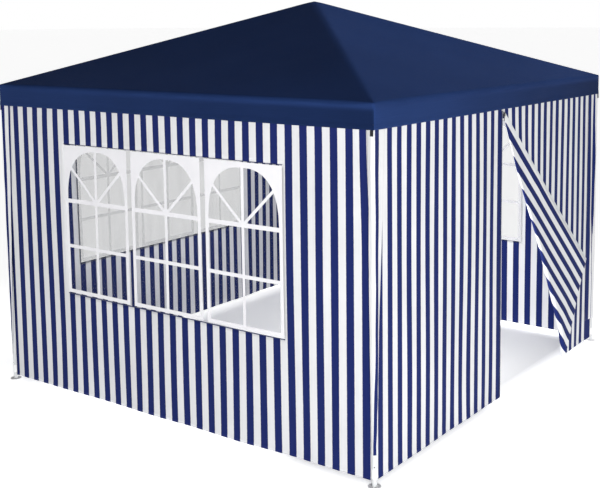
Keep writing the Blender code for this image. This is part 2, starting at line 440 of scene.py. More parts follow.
ROOF_SLOPE = (PEAK_HEIGHT - EAVE_HEIGHT) / ROOF_HALF
HIP_SOFTNESS = 0.008
PEAK_SOFTNESS = 0.018
ROOF_STEPS = 56  # from the middle of the roof to an eave
FOLD_LOOSE = 0.032  # the eave fold's radius in the middle of a side
FOLD_TIGHT = 0.010  # and at a corner
CORNER_RADIUS = 0.012
ARC_STEPS = 7
DROP_STEPS = 14
SAG = 0.016
ROOF_RIPPLE = 0.0016
PEAK_LIFT = 0.0035  # where the peak joint pushes the cloth up
PEAK_LIFT_REACH = 0.12
VALANCE_RIPPLE = 0.0028
VALANCE_HEM = 0.0015
GRID_MARGIN = 0.006  # between the roof's grid and the plane of the legs
GRID_CROWDING = 1.45


def roof_height(x, y):
    """The roof's top at a place, as a sharp pyramid with a soft peak, soft hips and a slight sag."""
    ax, ay = np.abs(x), np.abs(y)
    outer = (ax + ay + np.sqrt((ax - ay) ** 2 + HIP_SOFTNESS**2)) / 2
    soft = np.sqrt(outer**2 + PEAK_SOFTNESS**2)
    inner = np.minimum(ax, ay)
    reach = np.clip(outer / HALF, 0, 1)
    middle = 1 - (inner / np.maximum(outer, 0.05)) ** 2
    sag = SAG * np.clip(middle, 0, 1) * np.sin(math.pi * reach**1.3)
    folds = ROOF_RIPPLE * ripples(x, y, 5, 0.7, 0.7) * np.clip(middle, 0, 1) * np.sin(math.pi * reach)
    lift = PEAK_LIFT * np.exp(-outer / PEAK_LIFT_REACH)
    return PEAK_HEIGHT + lift - ROOF_SLOPE * soft - sag + folds


def corner_nearness(share):
    """1 at the ends of a side and 0 along most of it. share runs from -1 to 1."""
    return np.exp(-(1 - np.abs(share)) / 0.07)


def round_corner(share, half):
    """A place on the rim of a square whose corners are rounded: along its side, and out."""
    gap = (1 - abs(share)) * half
    if gap >= CORNER_RADIUS:
        return share * half, half
    angle = math.pi / 4 * (1 - gap / CORNER_RADIUS)
    along = half - CORNER_RADIUS + CORNER_RADIUS * math.sin(angle)
    return math.copysign(along, share), half - CORNER_RADIUS + CORNER_RADIUS * math.cos(angle)


def valance_point(side, share, height, top):
    """How far out the valance hangs, for a share of the half side and a height."""
    down = (top - height) / (top - VALANCE_BOTTOM)
    wave = ripples(share * ROOF_HALF + side * 7.3, height, 41 + side, 0.55, 0.8)
    out = ROOF_HALF + VALANCE_RIPPLE * wave * down * (1 - corner_nearness(share))
    return out + VALANCE_HEM * smooth_step((VALANCE_BOTTOM + HEM - height) / 0.004)


def add_canopy():
    """The roof and its valance, one sewn sheet. A square grid makes the roof, and loops go on round it."""
    inner = HALF - GRID_MARGIN
    ease = np.linspace(-1, 1, 2 * ROOF_STEPS + 1)
    line = inner * np.sign(ease) * (1 - (1 - np.abs(ease)) ** GRID_CROWDING)
    count = len(line)
    gx, gy = np.meshgrid(line, line)
    points = list(zip(gx.ravel(), gy.ravel(), roof_height(gx, gy).ravel()))
    faces = []
    for j in range(count - 1):
        for i in range(count - 1):
            a, b, c, d = j * count + i, j * count + i + 1, (j + 1) * count + i + 1, (j + 1) * count + i
            if i == j:
                faces += [(a, b, c), (a, c, d)]
            elif i + j == count - 2:
                faces += [(a, b, d), (b, c, d)]
            else:
                faces.append((a, b, c, d))
    loop = []
    for side in range(4):
        for i in range(count - 1):
            flat = turned([(line[i], -inner, 0)], side)[0]
            col = int(np.argmin(abs(line - flat[0])))
            row = int(np.argmin(abs(line - flat[1])))
            loop.append((row * count + col, side, line[i] / inner))
    shares = np.array([s for _, _, s in loop])
    sides = np.array([k for _, k, _ in loop])
    previous = [index for index, _, _ in loop]
    ends = corner_nearness(shares)
    radius = FOLD_LOOSE + (FOLD_TIGHT - FOLD_LOOSE) * smooth_step(ends)
    pitch = math.atan(ROOF_SLOPE)
    tangent = radius * math.tan((math.pi / 2 - pitch) / 2)
    rim_top = EAVE_HEIGHT - tangent
    rings = []
    for step in range(1, ARC_STEPS + 1):
        angle = (math.pi / 2 - pitch) * (1 - step / ARC_STEPS)
        out = ROOF_HALF - radius + radius * np.cos(angle)
        rings.append((out, rim_top + radius * np.sin(angle)))
    for step in range(1, DROP_STEPS + 1):
        height = rim_top + (VALANCE_BOTTOM - rim_top) * step / DROP_STEPS
        out = np.array([valance_point(k, s, h, t) for k, s, h, t in zip(sides, shares, height, rim_top)])
        rings.append((out, height))
    for out, height in rings:
        start = len(points)
        for n, (_, side, share) in enumerate(loop):
            along, reach = round_corner(share, out[n])
            points.append(tuple(turned([(along, -reach, height[n])], side)[0]))
        total = len(loop)
        for n in range(total):
            a, b = previous[n], previous[(n + 1) % total]
            faces.append((a, start + n, start + (n + 1) % total, b))
        previous = list(range(start, start + total))
    piece = new_piece("canopy", points, faces, NAVY, home=SOFT)
    add_panel_uvs(piece)
    thicken(piece, CLOTH, -1.0)
    return piece


# The tone of each side's valance at its two ends. It stands in for the way the photograph's light falls
# off along the two sides that show.
VALANCE_SHADES = ((0.95, 0.52), (1.10, 0.60), (0.9, 0.9), (0.9, 0.9))


def add_panel_uvs(piece):
    """Flat coordinates of the canopy's four panels: along the eave, and down from the peak. The valance also
    gets its painted shade: a tone that falls off from one end of a side to the other."""
    mesh = piece.data
    slant = math.hypot(1, ROOF_SLOPE)
    flat_places, shades = [], []
    for face in mesh.polygons:
        x, y = face.center.x, face.center.y
        side = 0 if -y >= abs(x) else 1 if x >= abs(y) else 2 if y >= abs(x) else 3
        low, high = VALANCE_SHADES[side]
        for k in face.loop_indices:
            p = mesh.vertices[mesh.loops[k].vertex_index].co
            flat = turned([(p.x, p.y, p.z)], -side)[0]
            flat_places += [flat[0], -flat[1] * slant + max(0.0, EAVE_HEIGHT - 0.03 - flat[2])]
            below = float(smooth_step((EAVE_HEIGHT - 0.02 - flat[2]) / 0.03))
            shades.append(1 + below * (low + (high - low) * (flat[0] / ROOF_HALF + 1) / 2 - 1))
    mesh.uv_layers.new(name="cloth").data.foreach_set("uv", np.array(flat_places, np.float32))
    mesh.attributes.new("shade", "FLOAT", "CORNER").data.foreach_set("value", np.array(shades, np.float32))


# Walls


# Ripples of a wall's cloth: how deep, and a wave's usual length along the wall and up it. They are broad,
# narrow, at the foot, and gathers at the top.
WALL_RIPPLES = ((0.0038, 1.1, 2.2), (0.0011, 0.22, 1.6), (0.0040, 0.7, 1.5), (0.0016, 0.12, 0.9))
FOOT_REACH = 0.22
GATHERS_REACH = 0.20


def wall_depth(u, v, seed):
    """How far a wall's cloth stands out at a place of the wall, in metres."""
    ends = smooth_step((WALL_HALF - 0.06 - np.abs(u)) / 0.2)
    top = smooth_step((WALL_TOP + 0.02 - v) / 0.25)
    broad, narrow, foot, gathers = [
        deep * ripples(u, v, seed + i, across, up) for i, (deep, across, up) in enumerate(WALL_RIPPLES)
    ]
    foot = foot * np.exp(-(v - WALL_BOTTOM) / FOOT_REACH)
    gathers = gathers * np.exp(-(WALL_TOP - v) / GATHERS_REACH)
    return ends * top * (broad + narrow + foot) + ends * gathers


def hem_rise(v):
    """The turned hem along the bottom stands proud of the cloth."""
    return 0.0008 * smooth_step((WALL_BOTTOM + HEM - v) / 0.003)


def wall_rows(breaks=()):
    values = [WALL_BOTTOM, WALL_BOTTOM + HEM - 0.003, WALL_BOTTOM + HEM, *breaks, WALL_TOP]
    return spread(sorted(values), ROW_STEP)


PULL = 0.021
PULL_PLACE = 1.452  # along the wall
PULL_WIDTH = 0.048
PULL_FOOT = 1.25  # the height where it starts
PULL_RISE = 0.65


def corner_pull(u, v):
    """How far the front wall's stripes are drawn aside by the loose fold at the top of the nearest corner."""
    nearness = np.exp(-(((u - PULL_PLACE) / PULL_WIDTH) ** 2))
    return PULL * nearness * smooth_step((v - PULL_FOOT) / PULL_RISE)


def add_wall(wall, side, seed):
    """A wall of one sheet, with the window cut out."""
    u = spread([-WALL_HALF, -WINDOW_HALF, WINDOW_HALF, WALL_HALF], COLUMN_STEP)
    v = wall_rows(breaks=(WINDOW_BOTTOM, WINDOW_TOP))
    gu, gv = np.meshgrid(u, v)
    mid_u, mid_v = np.meshgrid((u[1:] + u[:-1]) / 2, (v[1:] + v[:-1]) / 2)
    window = (np.abs(mid_u) < WINDOW_HALF) & (mid_v > WINDOW_BOTTOM) & (mid_v < WINDOW_TOP)
    out = HALF + wall_depth(gu, gv, seed) + hem_rise(gv)
    pull = corner_pull(gu, gv) if wall == "front" else 0.0
    out = out + 0.22 * pull * np.sin((gu - 1.40) / 0.011)
    flat = np.stack([gu.ravel(), -out.ravel(), gv.ravel()], axis=1)
    uvs = cloth_uvs(wall, gu + pull, gv)
    faces = grid_faces(len(v), len(u), ~window)
    piece = new_piece(f"wall_cloth_{wall}", turned(flat, side), faces, STRIPED, uvs, SOFT)
    thicken(without_loose(piece), CLOTH)
    return piece


def add_film(wall, side, seed):
    u = spread([-WINDOW_HALF - FILM_LAP, WINDOW_HALF + FILM_LAP], COLUMN_STEP)
    v = spread([WINDOW_BOTTOM - FILM_LAP, WINDOW_TOP + FILM_LAP], ROW_STEP)
    gu, gv = np.meshgrid(u, v)
    out = HALF - FILM_BACK + wall_depth(gu, gv, seed)
    flat = np.stack([gu.ravel(), -out.ravel(), gv.ravel()], axis=1)
    uvs = np.stack([gu.ravel() + seed, gv.ravel()], axis=1)
    faces = grid_faces(len(v), len(u))
    piece = new_piece(f"film_{wall}", turned(flat, side), faces, CLEAR[wall], uvs, SOFT)
    thicken(piece, FILM)
    return piece


def clipped(polygon, point, normal):
    """The part of a convex polygon on the side of a line that the normal points to."""
    kept = []
    for (ax, ay), (bx, by) in zip(polygon, polygon[1:] + polygon[:1]):
        da = (ax - point[0]) * normal[0] + (ay - point[1]) * normal[1]
        db = (bx - point[0]) * normal[0] + (by - point[1]) * normal[1]
        if da >= 0:
            kept.append((ax, ay))
        if da * db < 0:
            t = da / (da - db)
            kept.append((ax + t * (bx - ax), ay + t * (by - ay)))
    return kept


def light_outline():
    """The arched opening of one frame, about its own middle line."""
    half, rise = LIGHT_WIDTH / 2, ARCH_TOP - ARCH_SPRING
    outline = [(-half, LIGHT_BOTTOM), (half, LIGHT_BOTTOM)]
    for step in range(ARCH_STEPS + 1):
        angle = math.pi * step / ARCH_STEPS
        c, s = math.cos(angle), max(0.0, math.sin(angle))
        x = math.copysign(abs(c) ** (2 / ARCH_FULLNESS), c) * half
        outline.append((x, ARCH_SPRING + rise * s ** (2 / ARCH_FULLNESS)))
    return outline


def light_panes():
    """The panes between the bars of one frame: three rows, and the top one is a fan of four."""
    panes = []
    whole = light_outline()
    for sign in (-1, 1):
        part = clipped(whole, (sign * MULLION_WIDTH / 2, 0), (sign, 0))
        low = clipped(part, (0, LOW_BAR - BAR_WIDTH / 2), (0, -1))
        middle = clipped(part, (0, LOW_BAR + BAR_WIDTH / 2), (0, 1))
        middle = clipped(middle, (0, ARCH_SPRING - SPRING_BAR_WIDTH / 2), (0, -1))
        fan = clipped(part, (0, ARCH_SPRING + SPRING_BAR_WIDTH / 2), (0, 1))
        ray = math.radians(RAY_ANGLE)
        across = (sign * math.sin(ray), -math.cos(ray))
        half = RAY_WIDTH / 2
        under = clipped(fan, (across[0] * half, ARCH_SPRING + across[1] * half), across)
        away = (-across[0], -across[1])
        over = clipped(fan, (away[0] * half, ARCH_SPRING + away[1] * half), away)
        panes += [low, middle, under, over]
    return panes


def flat_curve(outlines):
    """A flat sheet in the XY plane. The first outline is its edge and the others are holes."""
    curve = bpy.data.curves.new("outline", "CURVE")
    curve.dimensions = "2D"
    curve.fill_mode = "BOTH"
    for outline in outlines:
        spline = curve.splines.new("POLY")
        spline.points.add(len(outline) - 1)
        spline.use_cyclic_u = True
        for point, (x, y) in zip(spline.points, outline):
            point.co = (x, y, 0, 1)
    helper = bpy.data.objects.new("outline", curve)
    bpy.context.scene.collection.objects.link(helper)
    graph = bpy.context.evaluated_depsgraph_get()
    mesh = bpy.data.meshes.new_from_object(helper.evaluated_get(graph))
    bpy.data.objects.remove(helper)
    bpy.data.curves.remove(curve)
    return mesh


def lattice_mesh():
    """The three printed frames with their bars, flat, cut finely enough to follow the film."""
    bm = bmesh.new()
    low, high = WINDOW_BOTTOM + FRAME_EDGE, WINDOW_TOP - FRAME_EDGE
    for k in range(FRAME_COUNT):
        middle = (k - (FRAME_COUNT - 1) / 2) * FRAME_PITCH
        left, right = middle - FRAME_WIDTH / 2, middle + FRAME_WIDTH / 2
        edge = [(left, low), (right, low), (right, high), (left, high)]
        holes = [[(x + middle, y) for x, y in pane] for pane in light_panes()]
        mesh = flat_curve([edge, *holes])
        bm.from_mesh(mesh)
        bpy.data.meshes.remove(mesh)
    bmesh.ops.remove_doubles(bm, verts=bm.verts, dist=0.00001)
    cuts = ((0, -WINDOW_HALF, WINDOW_HALF, 0.03), (1, WINDOW_BOTTOM, WINDOW_TOP, 0.035))
    for axis, low, high, step in cuts:
        for place in np.arange(low + step, high, step):
            point = [0.0, 0.0, 0.0]
            normal = [0.0, 0.0, 0.0]
            point[axis], normal[axis] = float(place), 1.0
            geometry = bm.verts[:] + bm.edges[:] + bm.faces[:]
            bmesh.ops.bisect_plane(bm, geom=geometry, plane_co=point, plane_no=normal, dist=0.00001)
    points = [tuple(v.co) for v in bm.verts]
    bm.verts.index_update()
    faces = [[v.index for v in f.verts] for f in bm.faces]
    bm.free()
    return np.array(points), faces


def add_lattice(wall, side, seed, flat_points, faces):
    u, v = flat_points[:, 0], flat_points[:, 1]
    out = HALF - PRINT_BACK + wall_depth(u, v, seed)
    flat = np.stack([u, -out, v], axis=1)
    uvs = np.stack([u + seed, v], axis=1)
    name = f"window_bars_{wall}"
    piece = new_piece(name, turned(flat, side), faces, PRINT[wall], uvs, SOFT, smooth=False)
    thicken(piece, 0.0006)
    return piece


BINDING_PAST = 0.004
BINDINGS = ((WINDOW_BOTTOM - 0.005, WINDOW_BOTTOM + 0.001), (WINDOW_TOP - 0.001, WINDOW_TOP + 0.002))


def add_binding(name, side, seed):
    """The narrow navy edge of the cloth above and below a window. Its dark colour is also a painted shadow
    line along the window's edge.
    """
    u = spread([-WINDOW_HALF - BINDING_PAST, WINDOW_HALF + BINDING_PAST], COLUMN_STEP)
    points, faces = [], []
    for low, high in BINDINGS:
        first = len(points)
        for v in (low, high):
            out = HALF + BINDING_OUT + wall_depth(u, np.full(len(u), v), seed)
            points += [(a, -b, v) for a, b in zip(u, out)]
        for face in grid_faces(2, len(u)):
            faces.append([first + i for i in face])
    piece = new_piece(name, turned(points, side), faces, TAPE)
    thicken(piece, 0.0008)
    return piece


# Door

DOOR_HEIGHT = ZIP_TOP - WALL_BOTTOM
FOLD_ANGLE = math.atan2(FOLD_FOOT - ZIP_PLACE, DOOR_HEIGHT)  # from the zip to the fold's line
FAR_SEED = 71
CURL_STEPS = 14
FLAP_STEPS = 24
FAR_COLUMNS = 62


def curl():
    """How the folded cloth leaves the wall and comes back: for each angle of flat cloth past the fold's
    line, how far towards the opening and how far out it is, for each metre from the fold's top."""
    turn = math.pi + FOLD_RETURN
    bend = FOLD_RADIUS * turn
    angles = list(np.linspace(0, bend, CURL_STEPS + 1))
    angles += list(np.linspace(bend, FLAP_ANGLE, FLAP_STEPS + 1)[1:])
    rows = [(0.0, 0.0, 0.0)]
    across = out = 0.0
    for low, high in zip(angles, angles[1:]):
        middle = (low + high) / 2
        if middle < bend:
            heading = turn * middle / bend
        else:
            heading = math.pi + FOLD_RETURN * (1 - (middle - bend) / (FLAP_ANGLE - bend))
        across += math.cos(heading) * (high - low)
        out += math.sin(heading) * (high - low)
        rows.append((high, across, out))
    return rows


def fold_bow(share):
    """How far the fold's line stands off a straight one, for a share of the way down it."""
    return FOLD_BOW * smooth_step((share - 0.2) / 0.35) * (1 - 0.9 * smooth_step((share - 0.86) / 0.14))


def fold_place(z):
    """Where the fold's line is along the wall at a height."""
    down = np.maximum(0.0, ZIP_TOP - z)
    return ZIP_PLACE + down * math.tan(FOLD_ANGLE) + fold_bow(down / DOOR_HEIGHT)


def flap_reach(angle, share):
    """How far from the zip's top the folded cloth goes at a flat angle, for a share of the way down."""
    left = 1 - angle / FLAP_ANGLE
    longer = math.cos(FLAP_ANGLE) / math.cos(FOLD_ANGLE)
    return share * DOOR_HEIGHT / math.cos(FLAP_ANGLE - angle) * (1 + (longer - 1) * left)


def flap_point(angle_row, share):
    """A point of the folded cloth: along, out and up."""
    angle, across, out = angle_row
    along_fold = np.array([math.sin(FOLD_ANGLE), 0.0, -math.cos(FOLD_ANGLE)])
    to_opening = np.array([-math.cos(FOLD_ANGLE), 0.0, -math.sin(FOLD_ANGLE)])
    direction = along_fold + across * to_opening + out * np.array([0.0, 1.0, 0.0])
    direction = direction / np.linalg.norm(direction)
    point = np.array([ZIP_PLACE, HALF, ZIP_TOP]) + flap_reach(angle, share) * direction
    point[0] += float(fold_bow(share)) * (1 - angle / FLAP_ANGLE) ** 2
    if angle > FOLD_RADIUS * math.pi:
        held = smooth_step((point[0] - fold_place(point[2])) / FOLD_HOLD)
        behind = wall_depth(point[0], point[2], FAR_SEED) * held
        point[1] = max(point[1], HALF + float(behind) + FLAP_CLEAR)
    return point


def add_far_door():
    """The door's far half: the part on the wall, the loose fold and the turned-back corner, one sheet."""
    rows = sorted(set(wall_rows(breaks=(ZIP_TOP,)).tolist()), reverse=True)
    low_start = next(i for i, z in enumerate(rows) if z < ZIP_TOP + 1e-6)
    points, flat = [], []
    for z in rows:
        first = float(fold_place(z))
        share = max(0.0, ZIP_TOP - z) / DOOR_HEIGHT
        along = first + (WALL_HALF - first) * np.linspace(0, 1, FAR_COLUMNS)
        held = smooth_step((along - first) / FOLD_HOLD)
        depth = wall_depth(along, np.full(FAR_COLUMNS, z), FAR_SEED) * held + hem_rise(z)
        slack = first - ZIP_PLACE - flap_reach(0.0, share) * math.sin(FLAP_ANGLE)
        gather = slack * (1 - smooth_step((along - first) / (GATHER_FOOT + GATHER_MORE * (1 - share))))
        end = WIDE_SLOWING * np.maximum(0.0, along - WIDE_END)
        points += [(a, -(HALF + d), z) for a, d in zip(along, depth)]
        flat += [(a, z) for a in along - gather - end]
    faces = grid_faces(len(rows), FAR_COLUMNS)
    shares = [max(0.0, ZIP_TOP - z) / DOOR_HEIGHT for z in rows[low_start:]]
    top = low_start * FAR_COLUMNS
    previous = [top + j * FAR_COLUMNS for j in range(len(shares))]
    for angle_row in curl()[1:]:
        angle = angle_row[0]
        current = [top]
        for share in shares[1:]:
            x, out, up = flap_point(angle_row, share)
            wave = ripples(angle * 3.0, share, 91, 0.6, 0.9) * smooth_step(angle / 0.15)
            flutter = 0.0030 * share * float(wave)
            points.append((x, -(out + abs(flutter) + 0.0015), up))
            reach = flap_reach(angle, share)
            turn = FLAP_ANGLE - angle
            flat.append((ZIP_PLACE + reach * math.sin(turn), ZIP_TOP - reach * math.cos(turn)))
            current.append(len(points) - 1)
        for j in range(len(shares) - 1):
            quad = (previous[j], previous[j + 1], current[j + 1], current[j])
            faces.append(quad if previous[j] != current[j] else quad[:3])
        previous = current
    uvs = cloth_uvs("far", *np.array(flat).T)
    piece = new_piece("door_cloth_far", turned(points, 1), faces, STRIPED, uvs, SOFT)
    thicken(piece, CLOTH)
    return piece


def add_near_door():
    u = spread([-WALL_HALF, ZIP_PLACE], COLUMN_STEP)
    v = wall_rows(breaks=(ZIP_TOP,))
    gu, gv = np.meshgrid(u, v)
    free = smooth_step((ZIP_PLACE + 0.02 - gu) / 0.2)
    out = HALF + wall_depth(gu, gv, FAR_SEED) * (0.3 + 0.7 * free) + hem_rise(gv)
    flat = np.stack([gu.ravel(), -out.ravel(), gv.ravel()], axis=1)
    uvs = cloth_uvs("near", gu, gv)
    piece = new_piece("door_cloth_near", turned(flat, 1), grid_faces(len(v), len(u)), STRIPED, uvs, SOFT)
    thicken(piece, CLOTH)
    return piece


def add_ribbon(name, centres, across, thickness, material):
    """A flat strip: each centre has a vector to its edge."""
    points, faces = [], []
    for c, a in zip(centres, across):
        points += [np.array(c) - a, np.array(c) + a]
    for i in range(len(centres) - 1):
        faces.append((2 * i, 2 * i + 1, 2 * i + 3, 2 * i + 2))
    piece = new_piece(name, points, faces, material)
    thicken(piece, thickness)
    return piece


def add_block(name, centre, size, material, bevel=0.001):
    """A small block with rounded edges."""
    x, y, z = (np.array(size) / 2).tolist()
    corners = [(a * x, b * y, c * z) for a in (-1, 1) for b in (-1, 1) for c in (-1, 1)]
    sides = [(0, 1, 3, 2), (4, 6, 7, 5), (0, 4, 5, 1), (2, 3, 7, 6), (0, 2, 6, 4), (1, 5, 7, 3)]
    piece = new_piece(name, np.array(corners) + np.array(centre), sides, material, smooth=False)
    modifier = piece.modifiers.new("edge", "BEVEL")
    modifier.width = bevel
    modifier.segments = 2
    return piece


# The slider and pull are sized and coloured to cover the dark gap at the zip's top: their own dark colour, and
# painted shade.
ZIP_BLOCKS = {  # how far below the zip's top, and the size
    "zip_slider": (0.020, (0.009, 0.016, 0.026)),
    "zip_pull": (0.046, (0.003, 0.009, 0.034)),
}


def add_zip():
    """The zip's two tapes, and its slider with a pull at the top. The slider and pull are dark in their own
    colour and also as painted shade of the gap there.
    """
    steps = 60
    heights = np.linspace(WALL_BOTTOM + 0.004, ZIP_TOP, steps)
    depth = wall_depth(np.full(steps, ZIP_PLACE), heights, FAR_SEED) * 0.3
    middle = ZIP_PLACE + 0.001 - ZIP_TAPE / 2
    centres = turned([(middle, -(HALF + TAPE_OUT + d), z) for d, z in zip(depth, heights)], 1)
    across = np.repeat(turned([(ZIP_TAPE / 2, 0, 0)], 1), steps, axis=0)
    near = add_ribbon("zip_tape_near", centres, across, 0.0006, TAPE)
    last = curl()[-1]
    inner = (last[0] - 0.012, last[1] + 0.012, last[2])
    centres, across = [], []
    for z in heights[::-1]:
        share = max(0.003, (ZIP_TOP - z) / DOOR_HEIGHT)
        edge, back = flap_point(last, share), flap_point(inner, share)
        inward = (back - edge) / max(1e-6, np.linalg.norm(back - edge))
        centre = edge - inward * 0.003
        centres.append((centre[0], -(centre[1] + 0.0035), centre[2]))
        across.append((inward[0] * 0.005, -inward[1] * 0.005, inward[2] * 0.005))
    far = add_ribbon("zip_tape_far", turned(centres, 1), turned(across, 1), 0.0006, TEETH)
    made = []
    for name, (down, size) in ZIP_BLOCKS.items():
        centre = turned([(ZIP_PLACE + 0.006, -(HALF + 0.010), ZIP_TOP - down)], 1)[0]
        made.append(add_block(name, centre, size, DARK_AND_SHADE))
    return [near, far, *made]


canopy = add_canopy()
lattice_points, lattice_faces = lattice_mesh()
for wall, side, seed in (("front", 0, 11), ("rear", 2, 23), ("left", 3, 37)):
    cloth = add_wall(wall, side, seed)
    film = add_film(wall, side, seed)
    lattice = add_lattice(wall, side, seed, lattice_points, lattice_faces)
    border = add_binding(f"window_binding_and_shadow_{wall}", side, seed)
    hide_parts(f"wall_{wall}")
    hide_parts(f"window_film_{wall}")
    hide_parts(f"window_frame_{wall}")
near_cloth = add_near_door()
far_cloth = add_far_door()
zip_pieces = add_zip()
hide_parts(*[f"{kind}_{side}" for kind in ("roof_panel", "valance") for side in SIDES])
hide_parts("door_wall_near")
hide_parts("door_wall_far", "door_flap")


# Corners

CORNERS = {"front_left": 3, "front_right": 0, "rear_right": 1, "rear_left": 2}  # the side that ends there
WRAP_RADIUS = 0.0165
WRAP_STAND = 0.0035  # how far a wrap's arms stand out from the walls' plane
WRAP_ROWS = 72
WRAP_COLUMNS = 44
# Each corner's wrap by height: where it starts, changes colour and ends. These are metres along the cloth
# from the leg's outermost line, and below zero on the side that ends at the corner. The rear left one
# doesn't show in the photograph and is a guess.
WRAPS = {
    "front_right": {
        1.980: (-0.047, 0.0055, 0.063, 0.118),
        1.511: (-0.034, 0.0083, 0.054, 0.097),
        1.085: (-0.035, 0.0090, 0.044, 0.070),
        0.659: (-0.029, 0.0030, 0.034, 0.044),
        0.233: (-0.0195, -0.0102, 0.0060, 0.0119),
        WRAP_BOTTOM: (-0.019, -0.0100, 0.0090, 0.0098),
    },
    "front_left": {
        1.980: (-0.060, 0.034, 0.061, 0.083),
        1.500: (-0.055, 0.030, 0.055, 0.070),
        1.100: (-0.050, 0.026, 0.044, 0.046),
        0.600: (-0.050, 0.024, 0.034, 0.035),
        0.300: (-0.045, 0.014, 0.022, 0.0225),
        WRAP_BOTTOM: (-0.040, 0.004, 0.012, 0.0125),
    },
    "rear_right": {
        1.980: (-0.148, -0.100, -0.056, -0.040, 0.050),
        1.400: (-0.148, -0.084, -0.062, -0.026, 0.050),
        1.000: (-0.148, -0.076, -0.062, -0.030, 0.050),
        0.780: (-0.146, -0.070, -0.045, -0.0445, 0.050),
        WRAP_BOTTOM: (-0.140, -0.077, -0.040, -0.0395, 0.040),
    },
    "rear_left": {
        1.980: (-0.050, 0.006, 0.045, 0.110),
        1.000: (-0.040, 0.004, 0.036, 0.060),
        WRAP_BOTTOM: (-0.030, -0.012, 0.012, 0.020),
    },
}
WHITE_FIRST = ("front_right", "rear_left")


def wrap_marks(corner, height):
    """The places of a wrap's edges and colour changes at a height."""
    table = WRAPS[corner]
    heights = sorted(table)
    return [np.interp(height, heights, [table[h][i] for h in heights]) for i in range(len(table[heights[0]]))]


def wrap_place(p):
    """A wrap's line in plan about the leg: along one wall, round the leg, and along the next wall."""
    quarter = WRAP_RADIUS * math.pi / 4
    angle = -math.pi / 4 + np.clip(p, -quarter, quarter) / WRAP_RADIUS
    past = np.maximum(np.abs(p) - quarter, 0)
    reach = WRAP_STAND + (WRAP_RADIUS - WRAP_STAND) * (1 - smooth_step(past / 0.05))
    x = np.where(p > quarter, reach, np.where(p < -quarter, -past, WRAP_RADIUS * np.cos(angle)))
    y = np.where(p > quarter, past, np.where(p < -quarter, -reach, WRAP_RADIUS * np.sin(angle)))
    return x, y


def add_wrap(corner, seed):
    """The loose side edge of a wall, lapped round the leg and pinned to the next wall."""
    top = max(WRAPS[corner])
    points, uvs = [], []
    for row in range(WRAP_ROWS):
        height = top + (WRAP_BOTTOM - top) * row / (WRAP_ROWS - 1)
        marks = wrap_marks(corner, height)
        places = np.linspace(marks[0], marks[-1], WRAP_COLUMNS)
        waver = 0.002 * ripples(places, height, seed + 2, 0.3, 0.5)
        x, y = wrap_place(places)
        crease = 0.0012 * ripples(places, height, seed, 0.05, 0.5)
        crease = crease + 0.0006 * ripples(places, height, seed + 1, 0.02, 0.2)
        push = 1 + np.abs(crease) / np.hypot(x, y)
        bands = np.interp(places + waver, marks, np.arange(len(marks))) + (corner in WHITE_FIRST)
        points += [(HALF + a, -HALF + b, height) for a, b in zip(x * push, y * push)]
        uvs += [(band * PERIOD / 2, height) for band in bands]
    faces = grid_faces(WRAP_ROWS, WRAP_COLUMNS)
    piece = new_piece(f"leg_wrap_{corner}", turned(points, CORNERS[corner]), faces, STRIPED, uvs, SOFT)
    thicken(piece, CLOTH, 1.0)
    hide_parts(f"leg_sleeve_{corner}")
    return piece


STRAP_ABOVE = 0.030  # the stretch behind the valance
STRAP_LENGTH = 0.062
STRAP_WIDTH = 0.020


def add_strap(corner):
    """The end of the webbing loop that ties the canopy to the leg. It hangs out below the valance."""
    side = CORNERS[corner]
    centres, across = [], []
    for step in range(9):
        share = step / 8
        height = VALANCE_BOTTOM + STRAP_ABOVE - STRAP_LENGTH * share
        centres.append((HALF + 0.0045, -(ROOF_HALF - 0.0014 + 0.002 * share**2), height))
        across.append((STRAP_WIDTH / 2, 0.0, 0.0))
    return add_ribbon(f"corner_strap_{corner}", turned(centres, side), turned(across, side), 0.0012, WEBBING)


def add_cylinder(name, centre, axis, radius, length, material, sides=24, bevel=0.0006):
    """A short round piece whose axis runs through its centre."""
    bm = bmesh.new()
    turn = Vector(axis).to_track_quat("Z", "Y").to_matrix().to_4x4()
    matrix = Matrix.Translation(Vector(centre)) @ turn
    bmesh.ops.create_cone(
        bm, cap_ends=True, segments=sides, radius1=radius, radius2=radius, depth=length, matrix=matrix
    )
    mesh = bpy.data.meshes.new(name)
    bm.to_mesh(mesh)
    bm.free()
    mesh.materials.append(material)
    mesh.shade_smooth()
    mesh.set_sharp_from_angle(angle=math.radians(40))
    piece = bpy.data.objects.new(name, mesh)
    TRIM.objects.link(piece)
    if bevel:
        modifier = piece.modifiers.new("edge", "BEVEL")
        modifier.width = bevel
        modifier.segments = 2
    return piece


COLLAR_MIDDLE = 0.074  # height
COLLAR_LENGTH = 0.052
COLLAR_WALL = 0.0014


def add_leg_details(corner):
    """The foot's collar, its rivet, and a dark disc of painted shade for the snap button's hole near the foot
    of a leg.
    """
    side = CORNERS[corner]
    axis = turned([(HALF, -HALF, 0)], side)[0]
    centre = (axis[0], axis[1], COLLAR_MIDDLE)
    radius = LEG_RADIUS + COLLAR_WALL
    made = [add_cylinder(f"foot_collar_{corner}", centre, (0, 0, 1), radius, COLLAR_LENGTH, PLASTIC, 40)]
    out = turned([(0.56, -0.83, 0)], side)[0]
    for kind, height, radius, sink, material in (
        # The hole is a dark disc: painted shade for the inside of the hole.
        ("hole", 0.113, 0.0034, 0.0003, DARK_AND_SHADE),
        ("rivet", 0.077, 0.0030, 0.0022, TEETH),
    ):
        centre = (axis[0] + out[0] * (LEG_RADIUS + sink), axis[1] + out[1] * (LEG_RADIUS + sink), height)
        made.append(add_cylinder(f"leg_{kind}_{corner}", centre, out, radius, 0.0016, material, 20, 0.0003))
    return made


